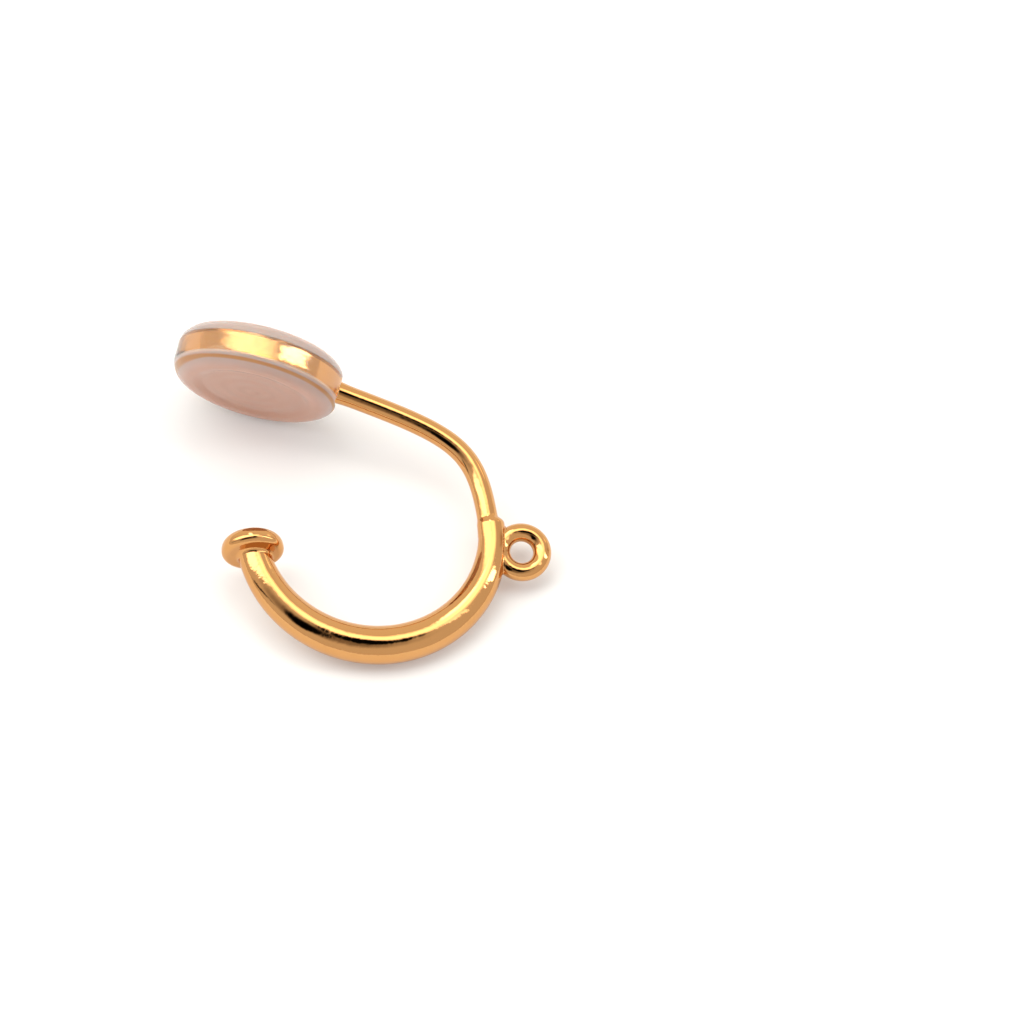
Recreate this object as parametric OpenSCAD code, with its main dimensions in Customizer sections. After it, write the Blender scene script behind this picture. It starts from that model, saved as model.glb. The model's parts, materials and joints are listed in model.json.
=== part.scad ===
// Clip on earring: a half-round hoop with a flat head at its front end, a hanging loop,
// and a springy arm that presses a soft round pad on the back of the ear lobe.
// The side view is drawn first: x runs out along the arm from the pad's centre, y runs from
// the hoop up to the pad, and z is across the earring. It is then laid on its side, as it rests
// on a table by itself, with +Z up and the origin in the middle of its base.

/* [Pad] */
// Diameter of the soft pad
pad_d = 8; // [7:0.1:9]
// Thickness of the pad
pad_t = 2.3; // [2.1:0.1:3]
// Radius of the pad's rounded rim
pad_round = 0.8; // [0.5:0.05:0.9]
// Flat ring between the rounded rim and the dish in each face
dish_margin = 0.25; // [0.1:0.05:0.8]
// Depth of the dish in each face
dish_depth = 0.1; // [0.04:0.02:0.2]
// Width of the window where the arm goes in
window_w = 1.9; // [1.4:0.1:2.4]

/* [Band] */
// Height of the metal band inside the pad
band_h = 1.1; // [1:0.05:1.5]
// Wall of the band
band_wall = 0.4; // [0.3:0.05:0.6]
// Soft skin over the outside of the band
skin = 0.3; // [0.2:0.05:0.5]
// Gap between the metal and the soft pad
fit_gap = 0.03; // [0.02:0.01:0.06]

/* [Hoop] */
// Width of the hoop, on the centre line of its tube
hoop_w = 11.43; // [10:0.1:13]
// Height of the hoop, on the centre line of its tube
hoop_h = 10.87; // [9.5:0.1:12]
// Distance from the pad's centre to the hoop's centre, out along the arm
hoop_out = 7.05; // [6.5:0.05:8]
// Distance from the pad's centre to the hoop's centre, across the ear's gap
hoop_down = 6.22; // [5.8:0.02:7.5]
// Angle of the front end of the hoop, where the head sits
hoop_start = 204; // [195:1:215]
// Angle of the back end of the hoop, where the arm leaves it
hoop_end = 380.5; // [376:0.5:388]
// Tube diameter at the head
tube_head_d = 1.5; // [1.2:0.05:1.8]
// Tube diameter at the thickest place
tube_mid_d = 1.82; // [1.5:0.02:2.2]
// Tube diameter at the back end
tube_end_d = 1.26; // [1.2:0.02:1.6]
// Edge radius of the blunt back end
end_round = 0.3; // [0.1:0.02:0.4]

/* [Head] */
// Diameter of the head
head_d = 2.94; // [2.4:0.02:3.8]
// Thickness of the head
head_t = 0.9; // [0.8:0.05:1.2]
// Edge radius of the head
head_round = 0.36; // [0.2:0.02:0.38]
// Angle by which the head turns from the tube's direction, in the plane of the hoop
head_turn = 8; // [0:1:14]
// Angle by which the head tilts sideways
head_tilt = 14; // [0:1:20]

/* [Arm] */
// Diameter of the springy wire
wire_d = 0.98; // [0.8:0.02:1.1]
// Diameter of the wire where it is soldered to the band
root_d = 1.14; // [1.1:0.02:1.4]
// Angle that the arm leans from the pad towards the hoop
arm_lean = 5.4; // [2:0.2:14]
// Height at which the arm leaves the band, above the pad's middle
arm_offset = 0.08; // [0:0.02:0.2]
// How far the arm runs on straight from the band before it bends
arm_run = 6.64; // [5:0.04:7.2]
// How far the bend reaches back from the hoop's end
arm_rise = 4.4; // [3:0.1:5]
// Depth to which the wire goes into the hoop's end
arm_tuck = 0.45; // [0.3:0.05:0.8]
// How far the wire sits inwards of the tube's centre
arm_inset = 0.12; // [0:0.02:0.14]

/* [Loop] */
// Diameter of the loop's wire
loop_wire_d = 0.86; // [0.7:0.02:1.1]
// Diameter of the hole in the loop
loop_hole_d = 1.08; // [0.8:0.04:1.6]
// Depth to which the loop sinks into the hoop
loop_sink = 0.24; // [0.16:0.02:0.4]
// Angle of the loop on the hoop
loop_angle = 368.5; // [362:0.5:372]

/* [Hidden] */
$fn = 64;
overshoot = 1;
pad_r = pad_d / 2;
band_r = pad_r - skin;
groove_r = band_r + fit_gap;
groove_core_r = band_r - band_wall - fit_gap;
groove_h = band_h + 2 * fit_gap;
dish_r = pad_r - pad_round - dish_margin;
window_h = max(band_h, root_d + 2 * arm_offset) + 2 * fit_gap;
hole_r = loop_hole_d / 2;
// The wire's ring is a little tighter than the hole, so that the hole is drilled to size
loop_land = 0.02;
loop_r = hole_r + loop_wire_d / 2 - loop_land;
// Share of the hoop's length at which its tube is thickest
thickest = 0.47;
root_length = 1.2;
hoop_steps = 72;
end_steps = 5;
arm_steps = 44;
tube_sides = 28;
wire_sides = 20;
// Weights in milligrams for each cubic millimetre, for brass and for soft rubber
metal_weight = 8.5;
pad_weight = 1.15;
search_steps = 26;

function unit(v) = v / norm(v);
function sum(list) = [for (v = list) 1] * list;
function square_off(v) = [-v.y, v.x];
function turn_of(v) = atan2(v.y, v.x);

// Centre line of the hoop, the way it runs, and its tube, at an angle round its centre
function hoop_at(a) = [hoop_out + hoop_w / 2 * cos(a), -hoop_down + hoop_h / 2 * sin(a)];
function hoop_way(a) = unit([-hoop_w / 2 * sin(a), hoop_h / 2 * cos(a)]);
function swell(from_d, share) = (from_d + (tube_mid_d - from_d) * sin(90 * share)) / 2;
function tube_r(share) =
    share < thickest
        ? swell(tube_head_d, share / thickest)
        : swell(tube_end_d, (1 - share) / (1 - thickest));

// A station of a swept tube is its centre, the way it runs and its radius
hoop_body = [
    for (i = [0:hoop_steps])
        let (share = i / hoop_steps, a = hoop_start + (hoop_end - hoop_start) * share)
        [hoop_at(a), hoop_way(a), tube_r(share)]
];
back_end = hoop_body[hoop_steps];
// The blunt end goes on past the last station, round its edge
hoop_tip = [
    for (i = [1:end_steps])
        let (turn = 90 * i / end_steps)
        [
            back_end[0] + back_end[1] * end_round * sin(turn),
            back_end[1],
            back_end[2] - end_round * (1 - cos(turn))
        ]
];
hoop_path = concat(hoop_body, hoop_tip);

// The arm is one smooth curve from the band to the inside of the hoop's back end
arm_start = [band_r - band_wall / 2, arm_offset];
arm_way = [cos(arm_lean), -sin(arm_lean)];
arm_end = back_end[0] - back_end[1] * arm_tuck + square_off(back_end[1]) * arm_inset;
arm_pull = [arm_start, arm_start + arm_way * arm_run, arm_end + back_end[1] * arm_rise, arm_end];
function curve(p, t) =
    pow(1 - t, 3) * p[0] + 3 * pow(1 - t, 2) * t * p[1] + 3 * (1 - t) * t * t * p[2] + pow(t, 3) * p[3];
function curve_way(p, t) =
    unit(pow(1 - t, 2) * (p[1] - p[0]) + 2 * (1 - t) * t * (p[2] - p[1]) + t * t * (p[3] - p[2]));
function arm_r(from_root) =
    (wire_d + (root_d - wire_d) * pow(max(0, 1 - from_root / root_length), 2)) / 2;
arm_path = [
    for (i = [0:arm_steps])
        let (t = i / arm_steps, p = curve(arm_pull, t))
        [p, curve_way(arm_pull, t), arm_r(norm(p - arm_start))]
];

head_at = hoop_at(hoop_start);
head_angle = turn_of(-hoop_way(hoop_start)) - head_turn;
head_way = [cos(head_angle) * cos(head_tilt), sin(head_angle) * cos(head_tilt), -sin(head_tilt)];
loop_on = hoop_at(loop_angle);
loop_share = (loop_angle - hoop_start) / (hoop_end - hoop_start);
loop_way = -square_off(hoop_way(loop_angle));
loop_at = loop_on + loop_way * (tube_r(loop_share) + loop_r - loop_sink);

// Weight and centre of weight, one row for each short piece: its weight, and weight times place
function piece(weight, place) = [weight, weight * place.x, weight * place.y];
function tube_pieces(path) = [
    for (i = [1:len(path) - 1])
        let (a = path[i - 1], b = path[i])
        piece(metal_weight * PI * pow((a[2] + b[2]) / 2, 2) * norm(b[0] - a[0]), (a[0] + b[0]) / 2)
];
balance = sum(concat(
    tube_pieces(hoop_path),
    tube_pieces(arm_path),
    [
        piece(metal_weight * PI * pow(head_d / 2, 2) * head_t, head_at),
        piece(metal_weight * 2 * pow(PI, 2) * loop_r * pow(loop_wire_d / 2, 2), loop_at),
        piece(metal_weight * 2 * PI * (band_r - band_wall / 2) * band_wall * band_h, [0, 0]),
        piece(pad_weight * PI * pow(pad_r, 2) * pad_t, [0, 0])
    ]
));
weight_at = [balance[1] / balance[0], balance[2] / balance[0], 0];

// How far each form reaches from the pad's centre in a direction
function flat3(v) = [v.x, v.y, 0];
function across(d, way) = sqrt(max(0, 1 - pow(d * way, 2)));
function disc_reach(d, at, way, r, t, edge) =
    d * flat3(at) + (r - edge) * across(d, way) + (t / 2 - edge) * abs(d * way) + edge;
function tube_reach(d, path) =
    max([for (s = path) d * flat3(s[0]) + s[2] * across(d, flat3(s[1]))]);
function pad_reach(d) = disc_reach(d, [0, 0], [0, 1, 0], pad_r, pad_t, pad_round);
function metal_reach(d) = max(
    tube_reach(d, hoop_path),
    tube_reach(d, arm_path),
    disc_reach(d, head_at, head_way, head_d / 2, head_t, head_round),
    d * flat3(loop_at) + loop_r * norm([d.x, d.y]) + loop_wire_d / 2
);
function reach(d) = max(pad_reach(d), metal_reach(d));

// The earring lies on the pad's rim and on the metal: for each direction in which it may lean,
// the tilt is found that puts both on the table, and then the lean with the lowest weight
function up_for(lean, tilt) = [-sin(tilt) * cos(lean), -sin(tilt) * sin(lean), cos(tilt)];
function tilt_for(lean, low = 0, high = 45, steps = search_steps) =
    let (middle = (low + high) / 2, down = -up_for(lean, middle))
    steps == 0
        ? middle
        : pad_reach(down) > metal_reach(down)
            ? tilt_for(lean, middle, high, steps - 1)
            : tilt_for(lean, low, middle, steps - 1);
function weight_height(lean) =
    let (up = up_for(lean, tilt_for(lean)))
    weight_at * up + reach(-up);
function resting_lean(low = -85, high = -15, steps = search_steps) =
    let (a = low + (high - low) / 3, b = high - (high - low) / 3)
    steps == 0
        ? (low + high) / 2
        : weight_height(a) < weight_height(b)
            ? resting_lean(low, b, steps - 1)
            : resting_lean(a, high, steps - 1);
lean = resting_lean();
up = up_for(lean, tilt_for(lean));
along = unit([1, 0, 0] - up.x * up);
aside = cross(up, along);

// Lays the side view down on the table, centred over the origin
module laid() {
    multmatrix([
        [along.x, along.y, along.z, (reach(-along) - reach(along)) / 2],
        [aside.x, aside.y, aside.z, (reach(-aside) - reach(aside)) / 2],
        [up.x, up.y, up.z, reach(-up)]
    ]) children();
}

// Points a form made along z at an angle in the side view, tilted sideways
module pointed(angle, tilt = 0) {
    rotate([0, 0, angle - 90]) rotate([-90 - tilt, 0, 0]) children();
}

module round_disc(r, t, edge) {
    rotate_extrude() {
        translate([0, -t / 2]) square([r - edge, t]);
        translate([0, edge - t / 2]) square([r, t - 2 * edge]);
        intersection() {
            translate([r - edge, t / 2 - edge]) circle(edge);
            translate([0, t / 2 - edge]) square([r, edge]);
        }
        intersection() {
            translate([r - edge, edge - t / 2]) circle(edge);
            translate([0, -t / 2]) square([r, edge]);
        }
    }
}

module flat_ring(outer_r, inner_r, h) {
    difference() {
        cylinder(r = outer_r, h = h, center = true);
        cylinder(r = inner_r, h = h + overshoot, center = true);
    }
}

module swept(path, sides) {
    stations = len(path);
    points = [
        for (s = path, k = [0:sides - 1])
            let (turn = 360 * k / sides, side = square_off(s[1]))
            concat(s[0] + side * s[2] * cos(turn), [s[2] * sin(turn)])
    ];
    skin_faces = [
        for (i = [0:stations - 2], k = [0:sides - 1])
            let (a = i * sides + k, b = i * sides + (k + 1) % sides)
            each [[a, a + sides, b], [b, a + sides, b + sides]]
    ];
    caps = [
        [for (k = [0:sides - 1]) k],
        [for (k = [sides - 1:-1:0]) (stations - 1) * sides + k]
    ];
    polyhedron(points, concat(skin_faces, caps));
}

module band() {
    pointed(90) flat_ring(band_r, band_r - band_wall, band_h);
}

module arm() {
    swept(arm_path, wire_sides);
}

module hoop() {
    swept(hoop_path, tube_sides);
}

module head() {
    translate(head_at) pointed(head_angle, head_tilt) round_disc(head_d / 2, head_t, head_round);
}

module loop_ring() {
    translate(loop_at) rotate_extrude() translate([loop_r, 0]) circle(d = loop_wire_d);
}

// One piece of metal, cast and soldered together
module clip_frame() {
    color("#E3A94F") laid() difference() {
        union() {
            band();
            arm();
            hoop();
            head();
            loop_ring();
        }
        translate(loop_at) cylinder(r = hole_r, h = loop_wire_d + overshoot, center = true);
    }
}

module dish(side) {
    translate([0, 0, side * pad_t / 2]) cylinder(r = dish_r, h = 2 * dish_depth, center = true);
}

module window() {
    translate([groove_core_r, -window_h / 2, -window_w / 2])
        cube([pad_r, window_h, window_w]);
}

// The soft pad is moulded round the band, with a window for the arm
module pad() {
    color("#E6CDC0") laid() difference() {
        pointed(90) difference() {
            round_disc(pad_r, pad_t, pad_round);
            flat_ring(groove_r, groove_core_r, groove_h);
            dish(1);
            dish(-1);
        }
        window();
    }
}

clip_frame();
pad();
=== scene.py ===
import json
import math

import bpy
import numpy as np
from mathutils import Matrix, Vector


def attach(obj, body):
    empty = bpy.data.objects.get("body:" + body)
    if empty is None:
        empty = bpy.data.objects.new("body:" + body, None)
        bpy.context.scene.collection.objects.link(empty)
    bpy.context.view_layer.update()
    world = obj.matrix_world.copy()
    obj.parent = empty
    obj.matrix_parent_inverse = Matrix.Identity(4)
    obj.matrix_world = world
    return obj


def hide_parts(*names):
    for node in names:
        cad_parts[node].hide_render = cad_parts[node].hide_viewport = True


bl_info = {
    "name": "Clip on earring",
    "version": (1, 0, 0),
    "blender": (4, 5, 0),
    "location": "3D View > Sidebar > Earring",
    "description": "Dresses a clip on earring: its gilt metal, its soft pad and a plain pale studio",
    "category": "Object",
}

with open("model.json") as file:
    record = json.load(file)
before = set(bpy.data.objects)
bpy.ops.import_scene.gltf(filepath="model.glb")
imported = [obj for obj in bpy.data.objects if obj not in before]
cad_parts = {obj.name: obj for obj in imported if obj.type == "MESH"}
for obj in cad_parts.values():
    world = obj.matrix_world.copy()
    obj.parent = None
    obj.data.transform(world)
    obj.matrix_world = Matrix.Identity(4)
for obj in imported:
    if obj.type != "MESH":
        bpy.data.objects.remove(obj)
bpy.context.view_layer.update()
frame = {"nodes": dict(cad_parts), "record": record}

MM = 0.001
METAL_VOXEL = 0.062 * MM
PAD_VOXEL = 0.065 * MM


def linear(hex_colour):
    """Turns an sRGB hex colour into the linear colour that Blender's sockets hold."""
    shares = [int(hex_colour[i:i + 2], 16) / 255 for i in (1, 3, 5)]
    return [c / 12.92 if c <= 0.04045 else ((c + 0.055) / 1.055) ** 2.4 for c in shares]


def length(name, description, mm):
    """A size in metres, given in millimetres."""
    return bpy.props.FloatProperty(
        name=name, description=description, default=mm * MM, min=0, unit="LENGTH", precision=5)


def turn(name, description, degrees):
    """An angle, given in degrees."""
    return bpy.props.FloatProperty(
        name=name, description=description, default=math.radians(degrees), unit="ROTATION")


def colour(name, description, hex_colour):
    """A colour that a user may change, given as sRGB hex."""
    return bpy.props.FloatVectorProperty(
        name=name, description=description, default=linear(hex_colour), size=3, min=0, max=1,
        subtype="COLOR")


def share(name, description, value):
    """A number from 0 to 1."""
    return bpy.props.FloatProperty(
        name=name, description=description, default=value, min=0, max=1, subtype="FACTOR")


class EARRING_PG_metal(bpy.types.PropertyGroup):
    """Sizes and colours of the gilt metal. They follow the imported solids."""
    hoop_w: length("Hoop width", "Width of the hoop on its tube's centre line", 11.43)
    hoop_h: length("Hoop height", "Height of the hoop on its tube's centre line", 10.87)
    hoop_out: length("Hoop out", "From the pad's centre to the hoop's centre, along the arm", 7.05)
    hoop_down: length("Hoop down", "From the pad's centre to the hoop's centre, across the gap", 6.22)
    hoop_start: turn("Hoop start", "Angle of the hoop's front end, at the head", 204)
    hoop_end: turn("Hoop end", "Angle of the hoop's back end, at the arm", 380.5)
    tube_head_d: length("Tube at the head", "Tube diameter at the head", 1.5)
    tube_mid_d: length("Tube in the middle", "Tube diameter at its thickest place", 1.82)
    tube_end_d: length("Tube at the back", "Tube diameter at the back end", 1.26)
    thickest: share("Thickest place", "Share of the hoop at which its tube is thickest", 0.47)
    end_round: length("End edge", "Edge radius of the hoop's blunt back end", 0.3)
    head_d: length("Head diameter", "Diameter of the flat head", 2.94)
    head_t: length("Head thickness", "Thickness of the flat head", 0.9)
    head_front: length("Head front edge", "Edge radius of the head's front face", 0.53)
    head_back: length("Head back edge", "Edge radius of the head's back face", 0.3)
    head_turn: turn("Head turn", "Turn of the head from the tube, in the hoop's plane", 8)
    head_tilt: turn("Head tilt", "Sideways tilt of the head", 14)
    wire_d: length("Wire", "Diameter of the springy wire", 0.98)
    root_d: length("Wire root", "Diameter of the wire where it meets the band", 1.14)
    root_run: length("Root run", "Length over which the root thins to the wire", 1.2)
    arm_lean: turn("Arm lean", "Angle that the arm leans towards the hoop", 5.4)
    arm_offset: length("Arm offset", "Height of the arm's root above the pad's middle", 0.08)
    arm_run: length("Arm run", "How far the arm runs on straight before it bends", 6.64)
    arm_rise: length("Arm rise", "How far the bend reaches back from the hoop's end", 4.4)
    arm_tuck: length("Arm tuck", "Depth of the wire in the hoop's end", 0.45)
    arm_inset: length("Arm inset", "How far the wire sits inwards of the tube's centre", 0.12)
    loop_wire_d: length("Loop wire", "Diameter of the loop's wire", 0.86)
    loop_hole_d: length("Loop hole", "Diameter of the loop's hole", 1.08)
    loop_sink: length("Loop sink", "Depth of the loop in the hoop", 0.24)
    loop_angle: turn("Loop angle", "Angle of the loop on the hoop", 368.5)
    solder: length("Solder", "Radius of the soldered corners", 0.2)
    seam: length("Seam", "Radius of the corner between the tube and the head", 0.18)
    loop_seam: length("Loop seam", "Radius of the corners at the loop's feet", 0.04)
    gold: colour("Gold", "Colour of the gold plating", "#D6A067")
    deep_gold: colour("Deep gold", "Colour of the plating where it is thicker", "#D0975C")


class EARRING_PG_pad(bpy.types.PropertyGroup):
    """Sizes and colours of the pad and of the band in it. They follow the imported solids."""
    pad_d: length("Pad diameter", "Diameter of the soft pad", 8)
    pad_t: length("Pad thickness", "Thickness of the soft pad", 2.3)
    pad_round: length("Pad rim", "Radius of the pad's rounded rim", 0.8)
    dish_margin: length("Dish margin", "Flat ring between the rim and the dish", 0.25)
    dish_depth: length("Dish depth", "Depth of the dish in each face", 0.1)
    dish_slope: length("Dish slope", "Width of the dish's soft edge", 0.5)
    ring_pitch: length("Ring pitch", "Distance between the faint rings in each face", 0.78)
    ring_depth: length("Ring depth", "Height of the faint rings", 0.008)
    window_w: length("Window", "Width of the window where the arm goes in", 1.9)
    band_h: length("Band height", "Height of the metal band", 1.1)
    band_wall: length("Band wall", "Wall of the metal band", 0.4)
    band_edge: length("Band edge", "Edge radius of the metal band", 0.06)
    skin: length("Skin", "Soft skin over the outside of the band", 0.3)
    fit_gap: length("Gap", "Gap between the band and the soft pad", 0.03)
    lip: length("Lip", "Edge radius of the window", 0.12)
    rim_starts: length("Rim starts", "How far out the rubber starts to be half clear", 3.1)
    rim_full: length("Rim full", "How far out the rubber is as clear as the rim gets", 3.9)
    clear_shift: length("Clear shift", "How far the clear skin sits towards the head", 0.04)
    clear_fade: length("Clear fade", "How far inside the band's edges the skin turns milky", 0.08)
    milky_past: length("Milky past", "How far past the band's edges the skin is milky", 0.05)
    # The next five sizes place a painted reflection: gold colour painted into the rubber where it catches
    # the band's light
    reflection_past: length("Line past", "From the band's edge to the line of gold in the rubber", 0.24)
    reflection_half: length("Line half", "Half the width of the line of gold in the rubber", 0.1)
    reflection_grows: length("Line grows", "How much that half width grows far from the arm", 0.1)
    reflection_even: share("Line even", "Share of the pad's radius past which the line grows", 0.6)
    reflection_out: share("Line out", "How far the line sits towards the face, in half widths", 0.4)
    silicone: colour("Silicone", "Colour of the silicone in the faces", "#C89C88")
    rim_silicone: colour("Rim silicone", "Colour of the silicone in the rim", "#E2CAC2")
    clear_silicone: colour("Clear silicone", "Colour of the thin skin over the band", "#FFFAF6")
    # Colour of that painted reflection line in the rubber
    painted_gold_reflection: colour("Caught gold", "Gold that the rubber catches along the band", "#DDA36E")


class EARRING_PG_studio(bpy.types.PropertyGroup):
    """The floor, the light and the camera."""
    floor_size: length("Floor", "Side of the square floor", 3000)
    floor_colour: colour("Floor colour", "Colour of the plain pale floor", "#E6E6E7")
    floor_glow: bpy.props.FloatProperty(
        name="Floor glow", description="Light that comes up through the floor", default=0.13, min=0)
    tent_colour: colour("Tent colour", "Colour of the light tent's fabric", "#FFFCFA")
    tent_light: bpy.props.FloatProperty(
        name="Tent light", description="Brightness of the light tent's fabric", default=0.88, min=0)
    azimuth: turn("Azimuth", "Camera's direction round the earring", 8.145)
    elevation: turn("Elevation", "Camera's angle above the floor", 62.095)
    roll: turn("Roll", "Camera's turn round its own line of sight", 4.535)
    distance: length("Distance", "From the camera to the pad, along the line of sight", 382.1)
    aim_right: length("Aim right", "From the pad to the middle of the view", 11.892)
    aim_down: length("Aim down", "From the pad down to the middle of the view", 6.574)
    lens: bpy.props.FloatProperty(
        name="Lens", description="Focal length in millimetres", default=285.75, subtype="DISTANCE_CAMERA")


class SideFrame:
    """The earring's side view, in metres: x runs along the arm from the pad's centre, y from the
    hoop to the pad, and z is across the earring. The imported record's mounts give where it is."""

    def __init__(self, pad):
        mounts = {mount["name"]: mount for mount in frame["record"]["mounts"]}
        across = Vector(mounts["loop_hole"]["axis"]).normalized()
        up = -Vector(mounts["pad_face"]["axis"]).normalized()
        along = up.cross(across).normalized()
        self.rows = np.array([along, up, along.cross(up)])
        face = Vector(mounts["pad_face"]["pos_m"])
        self.centre = np.array(face + up * (pad.pad_t / 2 - pad.dish_depth))

    def from_world(self, points):
        return (points - self.centre) @ self.rows.T

    def to_world(self, points):
        return points @ self.rows + self.centre

    def turned_to_world(self, directions):
        return directions @ self.rows


def unit(vectors):
    return vectors / np.linalg.norm(vectors, axis=-1, keepdims=True)


def soft_min(a, b, blend):
    """The smaller of two distances, with a fillet where they are alike."""
    near = np.maximum(blend - np.abs(a - b), 0) / blend
    return np.minimum(a, b) - near * near * blend / 4


def soft_max(a, b, blend):
    """The larger of two distances, with a rounded edge where they are alike."""
    return -soft_min(-a, -b, blend)


def rounded(beyond_side, beyond_end, edge):
    """Distance to a form with a rounded edge, from how far a point is past its side and its end."""
    a = beyond_side + edge
    b = beyond_end + edge
    outside = np.hypot(np.maximum(a, 0), np.maximum(b, 0))
    return outside + np.minimum(np.maximum(a, b), 0) - edge


class Tube:
    """Distance to a round tube on a plane curve. at, way and bend give the curve and its first and
    second derivatives at a parameter, and radius gives the tube's radius."""
    GUESSES = 160
    NEWTON_STEPS = 3
    FAR_INSIDE = 1

    def __init__(self, first, last, at, way, bend, radius, edge=0):
        self.first, self.last = first, last
        self.at, self.way, self.bend, self.radius = at, way, bend, radius
        self.edge = edge
        self.guess = None

    def seek(self, points):
        """Finds the nearest of even samples on the curve for each point. The search starts there."""
        samples = np.linspace(self.first, self.last, self.GUESSES)
        places = self.at(samples)
        squares = np.full(len(points), np.inf)
        self.guess = np.zeros(len(points))
        for sample, place in zip(samples, places):
            square = ((points[:, :2] - place) ** 2).sum(1)
            nearer = square < squares
            squares[nearer] = square[nearer]
            self.guess[nearer] = sample

    def distance(self, points):
        flat = points[:, :2]
        t = self.guess
        for _ in range(self.NEWTON_STEPS):
            gap, way = self.at(t) - flat, self.way(t)
            speed = (way * way).sum(1)
            slope = speed + (gap * self.bend(t)).sum(1)
            t = t - (gap * way).sum(1) / np.maximum(slope, speed / 4)
            t = np.clip(t, self.first, self.last)
        way = unit(self.way(t))
        gap = flat - self.at(t)
        run = (gap * way).sum(1)
        aside = np.linalg.norm(np.column_stack([gap - run[:, None] * way, points[:, 2]]), axis=1)
        past_end = np.where(t >= self.last, run, np.where(t <= self.first, -run, -self.FAR_INSIDE))
        return rounded(aside - self.radius(t), past_end - self.edge, self.edge)


def hoop_tube(m):
    def at(a):
        return np.column_stack([
            m.hoop_out + m.hoop_w / 2 * np.cos(a), -m.hoop_down + m.hoop_h / 2 * np.sin(a)])

    def way(a):
        return np.column_stack([-m.hoop_w / 2 * np.sin(a), m.hoop_h / 2 * np.cos(a)])

    def bend(a):
        return np.column_stack([-m.hoop_w / 2 * np.cos(a), -m.hoop_h / 2 * np.sin(a)])

    def radius(a):
        run = (a - m.hoop_start) / (m.hoop_end - m.hoop_start)
        front = run < m.thickest
        from_d = np.where(front, m.tube_head_d, m.tube_end_d)
        rise = np.where(front, run / m.thickest, (1 - run) / (1 - m.thickest))
        return (from_d + (m.tube_mid_d - from_d) * np.sin(np.pi / 2 * rise)) / 2

    return Tube(m.hoop_start, m.hoop_end, at, way, bend, radius, edge=m.end_round)


def arm_tube(m, band_r, band_wall, hoop):
    end = np.array([m.hoop_end])
    back, back_way = hoop.at(end)[0], unit(hoop.way(end))[0]
    inwards = np.array([-back_way[1], back_way[0]])
    start = np.array([band_r - band_wall / 2, m.arm_offset])
    finish = back - back_way * m.arm_tuck + inwards * m.arm_inset
    lean = np.array([math.cos(m.arm_lean), -math.sin(m.arm_lean)])
    p = [start, start + lean * m.arm_run, finish + back_way * m.arm_rise, finish]
    chords = [p[i + 1] - p[i] for i in range(3)]

    def at(t):
        t = t[:, None]
        u = 1 - t
        return u ** 3 * p[0] + 3 * u ** 2 * t * p[1] + 3 * u * t ** 2 * p[2] + t ** 3 * p[3]

    def way(t):
        t = t[:, None]
        return 3 * ((1 - t) ** 2 * chords[0] + 2 * (1 - t) * t * chords[1] + t ** 2 * chords[2])

    def bend(t):
        t = t[:, None]
        return 6 * ((1 - t) * (chords[1] - chords[0]) + t * (chords[2] - chords[1]))

    def radius(t):
        from_root = np.linalg.norm(at(t) - start, axis=1)
        near = np.maximum(0, 1 - from_root / m.root_run)
        return (m.wire_d + (m.root_d - m.wire_d) * near ** 2) / 2

    return Tube(0, 1, at, way, bend, radius)


class MetalForm:
    """Distance to the soldered metal: hoop, arm, head, loop and band, with a fillet at each joint."""

    def __init__(self, m, pad):
        self.m = m
        self.band_r = pad.pad_d / 2 - pad.skin
        self.band_wall, self.band_h, self.band_edge = pad.band_wall, pad.band_h, pad.band_edge
        self.hoop = hoop_tube(m)
        self.arm = arm_tube(m, self.band_r, self.band_wall, self.hoop)
        start = np.array([m.hoop_start])
        self.head_at = np.append(self.hoop.at(start)[0], 0)
        tube_way = unit(self.hoop.way(start))[0]
        heading = math.atan2(-tube_way[1], -tube_way[0]) - m.head_turn
        tilt = math.cos(m.head_tilt)
        self.head_way = np.array([
            math.cos(heading) * tilt, math.sin(heading) * tilt, -math.sin(m.head_tilt)])
        here = np.array([m.loop_angle])
        loop_way = unit(self.hoop.way(here))[0]
        outwards = np.array([loop_way[1], -loop_way[0]])
        self.loop_r = (m.loop_hole_d + m.loop_wire_d) / 2
        reach = self.hoop.radius(here)[0] + self.loop_r - m.loop_sink
        self.loop_at = np.append(self.hoop.at(here)[0] + outwards * reach, 0)

    def seek(self, points):
        self.hoop.seek(points)
        self.arm.seek(points)

    def head(self, points):
        offset = points - self.head_at
        run = offset @ self.head_way
        aside = np.linalg.norm(offset - run[:, None] * self.head_way, axis=1)
        half, front, back = self.m.head_t / 2, self.m.head_front, self.m.head_back
        side = aside - self.m.head_d / 2
        return np.where(
            run > half - front, rounded(side, run - half, front), rounded(side, -run - half, back))

    def loop(self, points):
        offset = points - self.loop_at
        aside = np.hypot(offset[:, 0], offset[:, 1]) - self.loop_r
        return np.hypot(aside, offset[:, 2]) - self.m.loop_wire_d / 2

    def band(self, points):
        out = np.hypot(points[:, 0], points[:, 2]) - (self.band_r - self.band_wall / 2)
        return rounded(
            np.abs(out) - self.band_wall / 2, np.abs(points[:, 1]) - self.band_h / 2, self.band_edge)

    def distance(self, points):
        m = self.m
        d = soft_min(self.hoop.distance(points), self.arm.distance(points), m.solder)
        d = soft_min(d, self.head(points), m.seam)
        d = soft_min(d, self.loop(points), m.loop_seam)
        return soft_min(d, self.band(points), m.solder)


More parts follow.
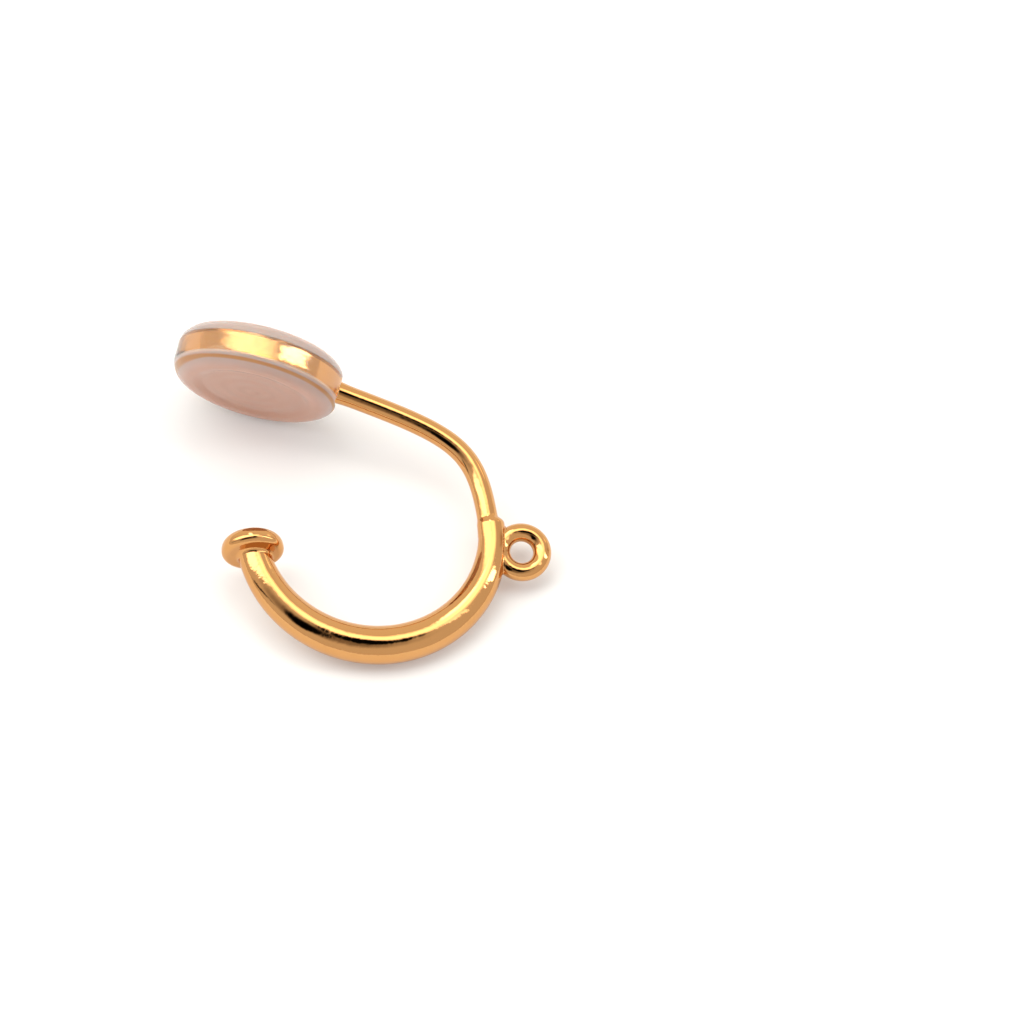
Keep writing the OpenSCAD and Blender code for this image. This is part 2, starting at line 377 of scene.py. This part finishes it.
class PadForm:
    """Distance to the silicone pad: dished faces with faint rings, a groove for the band and a window."""

    def __init__(self, m, pad):
        self.pad = pad
        self.band_r = pad.pad_d / 2 - pad.skin
        self.window_h = max(pad.band_h, m.root_d + 2 * m.arm_offset) + 2 * pad.fit_gap
        self.dish_r = pad.pad_d / 2 - pad.pad_round - pad.dish_margin

    def seek(self, points):
        """The pad has no curve to search along."""

    def face_depth(self, out):
        """Depth of the dish and its faint rings at a distance from the pad's middle."""
        pad = self.pad
        inwards = np.clip((self.dish_r - out) / pad.dish_slope, 0, 1)
        soft = inwards * inwards * (3 - 2 * inwards)
        rings = np.cos(2 * np.pi * out / pad.ring_pitch) * pad.ring_depth
        return soft * (pad.dish_depth + rings)

    def groove(self, points):
        """Distance to the space that the band fills."""
        pad = self.pad
        out = np.hypot(points[:, 0], points[:, 2]) - self.band_r + pad.band_wall / 2
        return rounded(
            np.abs(out) - pad.band_wall / 2 - pad.fit_gap,
            np.abs(points[:, 1]) - pad.band_h / 2 - pad.fit_gap, pad.fit_gap)

    def distance(self, points):
        pad = self.pad
        out = np.hypot(points[:, 0], points[:, 2])
        height = np.abs(points[:, 1])
        body = rounded(
            out - pad.pad_d / 2, height + self.face_depth(out) - pad.pad_t / 2, pad.pad_round)
        inner_r = self.band_r - pad.band_wall - pad.fit_gap
        window = rounded(
            np.maximum(np.abs(points[:, 2]) - pad.window_w / 2, inner_r - points[:, 0]),
            height - self.window_h / 2, pad.fit_gap)
        return soft_max(soft_max(body, -self.groove(points), pad.fit_gap), -window, pad.lip)


def slopes(form, points, step=0.002 * MM):
    """Unit normals of a form's distance, from four samples round each point."""
    corners = np.array([[1, -1, -1], [-1, -1, 1], [-1, 1, -1], [1, 1, 1]])
    return unit(sum(form.distance(points + corner * step)[:, None] * corner for corner in corners))


def remeshed(node, voxel):
    """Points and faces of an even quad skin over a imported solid, in metres of the world."""
    # The voxel modifier works in millimetres here, because it refuses very small voxels
    mesh = frame["nodes"][node].data.copy()
    mesh.transform(Matrix.Scale(1 / MM, 4))
    blank = bpy.data.objects.new("blank", mesh)
    bpy.context.scene.collection.objects.link(blank)
    skin = blank.modifiers.new("Even skin", "REMESH")
    skin.mode = "VOXEL"
    skin.voxel_size = voxel / MM
    made = blank.evaluated_get(bpy.context.evaluated_depsgraph_get()).to_mesh()
    points = np.empty(3 * len(made.vertices))
    made.vertices.foreach_get("co", points)
    faces = [list(polygon.vertices) for polygon in made.polygons]
    bpy.data.objects.remove(blank)
    bpy.data.meshes.remove(mesh)
    return points.reshape(-1, 3) * MM, faces


def neighbour_means(count, faces):
    """A function that gives, for each point, the mean of its neighbours along the edges."""
    quads = np.array([face for face in faces if len(face) == 4])
    a = quads.ravel()
    b = np.roll(quads, -1, axis=1).ravel()
    ends, others = np.concatenate([a, b]), np.concatenate([b, a])
    degree = np.maximum(np.bincount(ends, minlength=count), 1)[:, None]

    def means(points):
        sums = [np.bincount(ends, weights=points[others, i], minlength=count) for i in range(3)]
        return np.column_stack(sums) / degree

    return means


def fitted(form, side, node, voxel, rounds=4, last_rounds=2):
    """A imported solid's even skin, moved onto a form, with the form's own smooth normals. Each
    round also evens out the points along the form, and the last rounds don't."""
    world, faces = remeshed(node, voxel)
    points = side.from_world(world)
    means = neighbour_means(len(points), faces)
    form.seek(points)
    for _ in range(rounds):
        normals = slopes(form, points)
        points = points - form.distance(points)[:, None] * normals
        drift = means(points) - points
        points = points + (drift - (drift * normals).sum(1)[:, None] * normals) / 2
    for _ in range(last_rounds):
        points = points - form.distance(points)[:, None] * slopes(form, points)
    normals = slopes(form, points)
    return side.to_world(points), faces, side.turned_to_world(normals)


def make_piece(name, node, form, side, material, voxel):
    """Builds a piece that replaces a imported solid, and makes it ride with the earring."""
    points, faces, normals = fitted(form, side, node, voxel)
    mesh = bpy.data.meshes.new(name)
    mesh.from_pydata(points.tolist(), [], faces)
    mesh.update()
    mesh.shade_smooth()
    mesh.normals_split_custom_set_from_vertices(normals.tolist())
    mesh.materials.append(material)
    piece = bpy.data.objects.new(name, mesh)
    bpy.context.scene.collection.objects.link(piece)
    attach(piece, "root")
    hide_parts(node)
    return piece


def add_node(tree, kind, links=None, **settings):
    """Adds a node with its settings, and sets or links its inputs."""
    made = tree.nodes.new(kind)
    for setting, value in settings.items():
        setattr(made, setting, value)
    for socket, value in (links or {}).items():
        if isinstance(value, bpy.types.NodeSocket):
            tree.links.new(value, made.inputs[socket])
        else:
            made.inputs[socket].default_value = value
    return made


def empty_material(name):
    material = bpy.data.materials.new(name)
    material.use_nodes = True
    material.node_tree.nodes.clear()
    return material


def polished_gilt_brass(m):
    """Gold electroplate on cast and drawn brass, tumbled to a mirror. The eye sees long clean
    reflections that waver a little, because tumbling leaves the surface gently uneven."""
    material = empty_material("polished_gilt_brass")
    tree = material.node_tree
    place = add_node(tree, "ShaderNodeTexCoord").outputs["Object"]
    # Unevenness from tumbling, a wave of about 1.6 mm
    waves = add_node(tree, "ShaderNodeTexNoise", {
        "Vector": place, "Scale": 1 / (1.6 * MM), "Detail": 3, "Roughness": 0.45})
    # Fine haze of polishing lines of about 0.15 mm, drawn coarser than real so that it shows
    haze = add_node(tree, "ShaderNodeTexNoise", {
        "Vector": place, "Scale": 1 / (0.15 * MM), "Detail": 3, "Roughness": 0.6})
    # Plating builds up unevenly over about 3 mm
    plating = add_node(tree, "ShaderNodeTexNoise", {
        "Vector": place, "Scale": 1 / (3 * MM), "Detail": 2})
    tint = add_node(tree, "ShaderNodeMix", data_type="RGBA", links={
        "Factor": plating.outputs["Fac"], 6: [*m.gold, 1], 7: [*m.deep_gold, 1]})
    roughness = add_node(tree, "ShaderNodeMapRange", {
        "Value": haze.outputs["Fac"], "From Min": 0.3, "From Max": 0.7, "To Min": 0.03, "To Max": 0.08})
    uneven = add_node(tree, "ShaderNodeBump", {
        "Height": waves.outputs["Fac"], "Strength": 1, "Distance": 0.03 * MM})
    # Pits of the casting, about 0.3 mm apart, which the tumbling left in patches 2.5 mm wide
    pits = add_node(tree, "ShaderNodeTexNoise", {
        "Vector": place, "Scale": 1 / (0.3 * MM), "Detail": 2, "Roughness": 0.6})
    patches = add_node(tree, "ShaderNodeTexNoise", {
        "Vector": place, "Scale": 1 / (2.5 * MM), "Detail": 1})
    rough_patch = add_node(tree, "ShaderNodeMapRange", {
        "Value": patches.outputs["Fac"], "From Min": 0.5, "From Max": 0.62})
    pitted = add_node(tree, "ShaderNodeBump", {
        "Height": pits.outputs["Fac"], "Strength": rough_patch.outputs["Result"],
        "Distance": 0.006 * MM, "Normal": uneven.outputs["Normal"]})
    surface = add_node(tree, "ShaderNodeBsdfPrincipled", {
        "Base Color": tint.outputs[2], "Metallic": 1, "Roughness": roughness.outputs["Result"],
        "Normal": pitted.outputs["Normal"]})
    add_node(tree, "ShaderNodeOutputMaterial", {"Surface": surface.outputs["BSDF"]})
    return material


def moulded_silicone(pad, side):
    """Clear silicone rubber, moulded in a polished steel tool. The eye sees a soft gloss, the gold
    band through the thin skin, and milky faces where the rubber is thick."""
    material = empty_material("moulded_silicone")
    tree = material.node_tree
    place = add_node(tree, "ShaderNodeTexCoord").outputs["Object"]
    from_centre = add_node(tree, "ShaderNodeVectorMath", {
        0: place, 1: side.centre.tolist()}, operation="SUBTRACT").outputs[0]
    height = add_node(tree, "ShaderNodeVectorMath", {
        0: from_centre, 1: side.rows[1].tolist()}, operation="DOT_PRODUCT").outputs["Value"]
    across = add_node(tree, "ShaderNodeVectorMath", {
        0: from_centre, 1: side.rows[1].tolist()}, operation="CROSS_PRODUCT").outputs[0]
    out = add_node(tree, "ShaderNodeVectorMath", {0: across}, operation="LENGTH").outputs["Value"]
    along = add_node(tree, "ShaderNodeVectorMath", {
        0: from_centre, 1: side.rows[0].tolist()}, operation="DOT_PRODUCT").outputs["Value"]
    # The rubber is milky in the thick middle and half clear in the rim
    rim = add_node(tree, "ShaderNodeMapRange", {
        "Value": out, "From Min": pad.rim_starts, "From Max": pad.rim_full},
        interpolation_type="SMOOTHSTEP")
    # The skin over the band is thin and clear, a little more so on the head's side
    from_band = add_node(tree, "ShaderNodeMath", {0: height, 1: pad.clear_shift}, operation="ADD")
    off_band = add_node(tree, "ShaderNodeMath", {0: from_band.outputs[0]}, operation="ABSOLUTE")
    skin = add_node(tree, "ShaderNodeMapRange", {
        "Value": off_band.outputs[0], "From Min": pad.band_h / 2 + pad.milky_past,
        "From Max": pad.band_h / 2 - pad.clear_fade}, interpolation_type="SMOOTHSTEP")
    # A painted reflection: a line of gold colour past the band on the head's side, where the rubber
    # catches the gold's light. It grows at the end far from the arm, more towards the face than towards
    # the band
    half = add_node(tree, "ShaderNodeMapRange", {
        "Value": along, "From Min": -pad.reflection_even * pad.pad_d / 2, "From Max": -pad.pad_d / 2,
        "To Min": pad.reflection_half, "To Max": pad.reflection_half + pad.reflection_grows},
        interpolation_type="SMOOTHSTEP")
    past_edge = add_node(tree, "ShaderNodeMath", {
        0: -1, 1: height, 2: -pad.band_h / 2 - pad.reflection_past}, operation="MULTIPLY_ADD")
    past_half = add_node(tree, "ShaderNodeMath", {
        0: past_edge.outputs[0], 1: half.outputs["Result"]}, operation="DIVIDE")
    from_middle = add_node(tree, "ShaderNodeMath", {
        0: past_half.outputs[0], 1: pad.reflection_out}, operation="SUBTRACT")
    off_middle = add_node(tree, "ShaderNodeMath", {0: from_middle.outputs[0]}, operation="ABSOLUTE")
    painted_reflection_mask = add_node(tree, "ShaderNodeMapRange", {
        "Value": off_middle.outputs[0], "From Min": 1, "From Max": 0.4}, interpolation_type="SMOOTHSTEP")
    line = add_node(tree, "ShaderNodeMath", {
        0: painted_reflection_mask.outputs["Result"], 1: rim.outputs["Result"]}, operation="MULTIPLY")
    half_clear = add_node(tree, "ShaderNodeMapRange", {
        "Value": rim.outputs["Result"], "To Min": 0.08, "To Max": 0.45})
    clear = add_node(tree, "ShaderNodeMapRange", {
        "Value": skin.outputs["Result"], "To Min": half_clear.outputs["Result"], "To Max": 0.97})
    # Flow marks of the moulding, about 1.2 mm apart
    flow = add_node(tree, "ShaderNodeTexNoise", {
        "Vector": place, "Scale": 1 / (1.2 * MM), "Detail": 3, "Roughness": 0.5})
    tint = [*pad.silicone, 1]
    # The tint mixes in the rim's colour, the painted gold reflection line and the clear skin's colour
    for cover, shade in (
            (rim.outputs["Result"], pad.rim_silicone), (line.outputs[0], pad.painted_gold_reflection),
            (skin.outputs["Result"], pad.clear_silicone)):
        tint = add_node(tree, "ShaderNodeMix", data_type="RGBA", links={
            "Factor": cover, 6: tint, 7: [*shade, 1]}).outputs[2]
    roughness = add_node(tree, "ShaderNodeMapRange", {
        "Value": flow.outputs["Fac"], "From Min": 0.3, "From Max": 0.7, "To Min": 0.1, "To Max": 0.24})
    uneven = add_node(tree, "ShaderNodeBump", {
        "Height": flow.outputs["Fac"], "Strength": 0.6, "Distance": 0.03 * MM})
    surface = add_node(tree, "ShaderNodeBsdfPrincipled", {
        "Base Color": tint, "IOR": 1.41, "Roughness": roughness.outputs["Result"],
        "Transmission Weight": clear.outputs["Result"], "Subsurface Weight": 0.7,
        "Subsurface Radius": [1.0, 0.7, 0.55], "Subsurface Scale": 0.8 * MM,
        "Normal": uneven.outputs["Normal"]})
    add_node(tree, "ShaderNodeOutputMaterial", {"Surface": surface.outputs["BSDF"]})
    return material


def opal_acrylic(studio):
    """Cast opal acrylic with a sanded face, lit a little from below. The eye sees a plain pale
    floor with no gloss, on which shadows stay faint."""
    material = empty_material("sanded_opal_acrylic")
    tree = material.node_tree
    place = add_node(tree, "ShaderNodeTexCoord").outputs["Object"]
    # Grain of the sanding, about 0.3 mm. It changes the sheen alone
    grain = add_node(tree, "ShaderNodeTexNoise", {
        "Vector": place, "Scale": 1 / (0.3 * MM), "Detail": 0})
    sheen = add_node(tree, "ShaderNodeMapRange", {
        "Value": grain.outputs["Fac"], "To Min": 0.85, "To Max": 0.95})
    surface = add_node(tree, "ShaderNodeBsdfPrincipled", {
        "Base Color": [*studio.floor_colour, 1], "Roughness": sheen.outputs["Result"],
        "Specular IOR Level": 0.1, "Emission Color": [1, 1, 1, 1],
        "Emission Strength": studio.floor_glow})
    add_node(tree, "ShaderNodeOutputMaterial", {"Surface": surface.outputs["BSDF"]})
    return material


class EARRING_OT_clip_metal(bpy.types.Operator):
    """Builds the soldered metal: hoop, head, loop, arm and band"""
    bl_idname = "earring.clip_metal"
    bl_label = "Clip metal"

    def execute(self, context):
        m, pad = context.scene.earring_metal, context.scene.earring_pad
        form = MetalForm(m, pad)
        make_piece("clip_metal", "clip_frame", form, SideFrame(pad), polished_gilt_brass(m),
                   METAL_VOXEL)
        return {"FINISHED"}


class EARRING_OT_ear_pad(bpy.types.Operator):
    """Builds the soft silicone pad, moulded round the band"""
    bl_idname = "earring.ear_pad"
    bl_label = "Ear pad"

    def execute(self, context):
        m, pad = context.scene.earring_metal, context.scene.earring_pad
        side = SideFrame(pad)
        form = PadForm(m, pad)
        piece = make_piece("ear_pad", "pad", form, side, moulded_silicone(pad, side),
                           PAD_VOXEL)
        # The rubber is bonded to the band, so the groove's walls show the gilt metal behind them
        piece.data.materials.append(polished_gilt_brass(m))
        middles = np.array([polygon.center for polygon in piece.data.polygons])
        bonded = np.abs(form.groove(side.from_world(middles))) < pad.fit_gap / 2
        piece.data.polygons.foreach_set("material_index", bonded.astype(np.int32))
        return {"FINISHED"}


def camera_rows(studio):
    """The camera's right, up and back in the world."""
    a, e = studio.azimuth, studio.elevation
    back = Vector((math.sin(a) * math.cos(e), -math.cos(a) * math.cos(e), math.sin(e)))
    level = Vector((math.cos(a), math.sin(a), 0))
    right = Matrix.Rotation(studio.roll, 3, back) @ level
    return right, back.cross(right), back


def add_camera(studio, target):
    right, up, back = camera_rows(studio)
    camera = bpy.data.objects.new("camera", bpy.data.cameras.new("camera"))
    camera.data.lens = studio.lens
    camera.data.sensor_width = 36
    turned = Matrix((right, up, back)).transposed().to_4x4()
    place = target + right * studio.aim_right - up * studio.aim_down + back * studio.distance
    camera.matrix_world = Matrix.Translation(place) @ turned
    bpy.context.scene.collection.objects.link(camera)
    bpy.context.scene.camera = camera


# What hangs in the light tent, seen from the earring: a patch is an ellipse at an angle to the
# right of the front opening and above it, with half its width and height, its turn, the share of
# it that is a soft edge, its colour and its brightness. A later patch covers an earlier one.
PATCHES = [
    {"name": "warm roof", "right": 0, "above": 95, "wide": 150, "high": 72, "turn": 0,
     "edge": 0.5, "colour": "#FFFCF2", "bright": 1.08, "cover": 1.0},
    {"name": "big softbox", "right": -40, "above": 36, "wide": 56, "high": 24, "turn": 8,
     "edge": 0.6, "colour": "#FFFBF0", "bright": 3.7, "cover": 1.0},
    {"name": "strip light", "right": -30, "above": 22, "wide": 48, "high": 8, "turn": 20,
     "edge": 0.5, "colour": "#FFFFFF", "bright": 4.0, "cover": 1.0},
    {"name": "core of the softbox", "right": -3, "above": 53, "wide": 24, "high": 11, "turn": 120,
     "edge": 0.6, "colour": "#FFFFFF", "bright": 5.0, "cover": 1.0},
    {"name": "side light", "right": 70, "above": 60, "wide": 16, "high": 11, "turn": 0,
     "edge": 0.7, "colour": "#FFFAE8", "bright": 2.0, "cover": 1.0},
    {"name": "side strip light", "right": 58, "above": 21, "wide": 37, "high": 5, "turn": -19,
     "edge": 0.4, "colour": "#FFFFFF", "bright": 7.0, "cover": 1.0},
    {"name": "front lamp", "right": 15, "above": 42, "wide": 28, "high": 24, "turn": 0,
     "edge": 0.85, "colour": "#FFFFF0", "bright": 3.2, "cover": 1.0},
    {"name": "thin strip light", "right": 31, "above": 20, "wide": 26, "high": 3.5, "turn": -40,
     "edge": 0.6, "colour": "#FFFFFF", "bright": 2.4, "cover": 1.0},
    {"name": "shaded side", "right": 88, "above": 38, "wide": 46, "high": 9, "turn": 0,
     "edge": 0.8, "colour": "#D8B898", "bright": 0.8, "cover": 0.8},
    {"name": "side seam", "right": -58, "above": -12, "wide": 28, "high": 6, "turn": 5,
     "edge": 0.6, "colour": "#5A4430", "bright": 0.5, "cover": 0.9},
    {"name": "shade round the opening", "right": -8, "above": -3, "wide": 44, "high": 28, "turn": 10,
     "edge": 0.7, "colour": "#806A58", "bright": 0.5, "cover": 0.75},
    {"name": "opening", "right": -15, "above": -7, "wide": 30, "high": 12, "turn": 50,
     "edge": 0.5, "colour": "#14100C", "bright": 0.3, "cover": 1.0},
    {"name": "dark fold", "right": 12, "above": 15, "wide": 19, "high": 12, "turn": 75,
     "edge": 0.5, "colour": "#14100C", "bright": 0.3, "cover": 1.0},
]


def spread(degrees):
    """Where a direction at an angle lands on the tent's flat map, a stereographic one."""
    return 2 * math.tan(math.radians(degrees) / 2)


def add_light_tent(studio):
    """White fabric all round, lit from outside, with softboxes and a dark front opening."""
    world = bpy.data.worlds.new("light_tent")
    world.use_nodes = True
    tree = world.node_tree
    tree.nodes.clear()
    towards = add_node(tree, "ShaderNodeTexCoord").outputs["Generated"]
    right, above, front = [
        add_node(tree, "ShaderNodeVectorMath", {0: towards, 1: list(axis)},
                 operation="DOT_PRODUCT").outputs["Value"]
        for axis in camera_rows(studio)]
    # A little over 1, so that nothing is divided by zero straight behind
    past = add_node(tree, "ShaderNodeMath", {0: front, 1: 1.001}, operation="ADD").outputs[0]
    grow = add_node(tree, "ShaderNodeMath", {0: 2, 1: past}, operation="DIVIDE").outputs[0]
    side_by_side = add_node(tree, "ShaderNodeCombineXYZ", {"X": right, "Y": above}).outputs[0]
    flat = add_node(tree, "ShaderNodeVectorMath", {0: side_by_side, "Scale": grow},
                    operation="SCALE").outputs[0]
    light = [*(c * studio.tent_light for c in studio.tent_colour), 1]
    for patch in PATCHES:
        inside = add_node(tree, "ShaderNodeMapping", {
            "Vector": flat, "Location": [spread(patch["right"]), spread(patch["above"]), 0],
            "Rotation": [0, 0, math.radians(patch["turn"])],
            "Scale": [spread(patch["wide"]), spread(patch["high"]), 1]}, vector_type="TEXTURE")
        out = add_node(tree, "ShaderNodeVectorMath", {0: inside.outputs[0]}, operation="LENGTH")
        cover = add_node(tree, "ShaderNodeMapRange", {
            "Value": out.outputs["Value"], "From Min": 1, "From Max": 1 - patch["edge"],
            "To Max": patch["cover"]}, interpolation_type="SMOOTHSTEP")
        bright = [*(c * patch["bright"] for c in linear(patch["colour"])), 1]
        light = add_node(tree, "ShaderNodeMix", data_type="RGBA", links={
            "Factor": cover.outputs["Result"], 6: light, 7: bright}).outputs[2]
    glow = add_node(tree, "ShaderNodeBackground", {"Color": light, "Strength": 1})
    add_node(tree, "ShaderNodeOutputWorld", {"Surface": glow.outputs[0]})
    bpy.context.scene.world = world


class EARRING_OT_studio(bpy.types.Operator):
    """Adds the plain floor, the soft light and the camera"""
    bl_idname = "earring.studio"
    bl_label = "Studio"

    def execute(self, context):
        studio = context.scene.earring_studio
        half = studio.floor_size / 2
        mesh = bpy.data.meshes.new("floor")
        corners = [(-half, -half, 0), (half, -half, 0), (half, half, 0), (-half, half, 0)]
        mesh.from_pydata(corners, [], [(0, 1, 2, 3)])
        mesh.materials.append(opal_acrylic(studio))
        floor = bpy.data.objects.new("floor", mesh)
        context.scene.collection.objects.link(floor)

        side = SideFrame(context.scene.earring_pad)
        target = Vector(side.centre)
        add_camera(studio, target)

        add_light_tent(studio)
        context.scene.view_settings.view_transform = "Standard"
        return {"FINISHED"}


PIECES = (EARRING_OT_clip_metal, EARRING_OT_ear_pad, EARRING_OT_studio)
SETTINGS = {
    "earring_metal": EARRING_PG_metal,
    "earring_pad": EARRING_PG_pad,
    "earring_studio": EARRING_PG_studio,
}


class EARRING_PT_panel(bpy.types.Panel):
    """Lists the pieces and the sizes that they follow"""
    bl_idname = "EARRING_PT_panel"
    bl_label = "Clip on earring"
    bl_space_type = "VIEW_3D"
    bl_region_type = "UI"
    bl_category = "Earring"

    def draw(self, context):
        for piece in PIECES:
            self.layout.operator(piece.bl_idname)
        for name, group in SETTINGS.items():
            box = self.layout.box()
            for size in group.__annotations__:
                box.prop(getattr(context.scene, name), size)


def register():
    for group in SETTINGS.values():
        bpy.utils.register_class(group)
    for name, group in SETTINGS.items():
        setattr(bpy.types.Scene, name, bpy.props.PointerProperty(type=group))
    for cls in (*PIECES, EARRING_PT_panel):
        bpy.utils.register_class(cls)


def unregister():
    for cls in reversed((*PIECES, EARRING_PT_panel)):
        bpy.utils.unregister_class(cls)
    for name in SETTINGS:
        delattr(bpy.types.Scene, name)
    for group in reversed(SETTINGS.values()):
        bpy.utils.unregister_class(group)


def main():
    register()
    bpy.ops.earring.clip_metal()
    bpy.ops.earring.ear_pad()
    bpy.ops.earring.studio()


if __name__ == "__main__":
    main()
